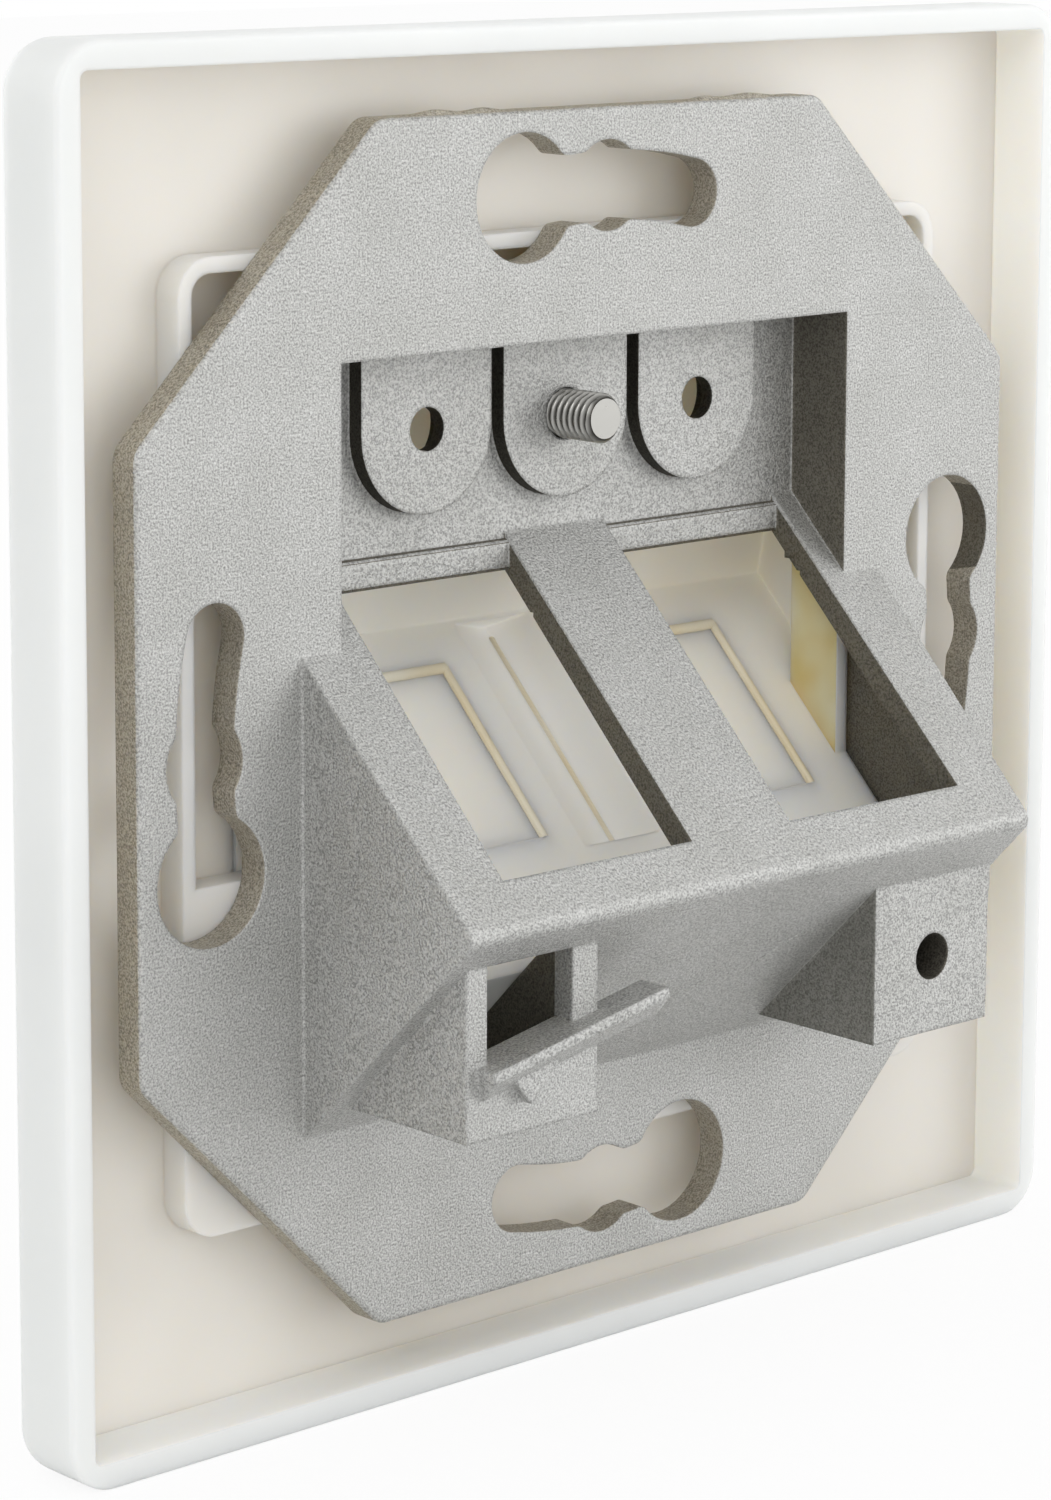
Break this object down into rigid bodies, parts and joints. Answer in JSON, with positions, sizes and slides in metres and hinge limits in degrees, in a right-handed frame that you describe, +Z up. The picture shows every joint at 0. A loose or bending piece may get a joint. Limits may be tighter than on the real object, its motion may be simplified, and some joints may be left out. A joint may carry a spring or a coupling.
{
  "type": "keystone outlet box",
  "caption": "Flush wall outlet: square cover frame, angled hood with keystone ports and dust covers, on an eight-sided die-cast support with keyhole slots.",
  "frame": {"origin": "centre of the four keyhole slots, on the support plate's rear face, which is the wall plane", "axes": "+Y out of the rear into the wall box, -Y towards the room, +Z up, +X to the right seen from the room"},
  "size_m": [0.08, 0.0255, 0.08],
  "materials": {
    "zinc_casting": "shot blasted",
    "white_plastic": "satin",
    "bright_steel": "bright"
  },
  "bodies": {
    "root": {"support_frame": "zinc_casting", "cover_frame": "white_plastic", "centre_plate": "white_plastic", "dust_cover_left": "white_plastic", "dust_cover_right": "white_plastic", "centre_screw": "bright_steel"}
  },
  "joints": []
}
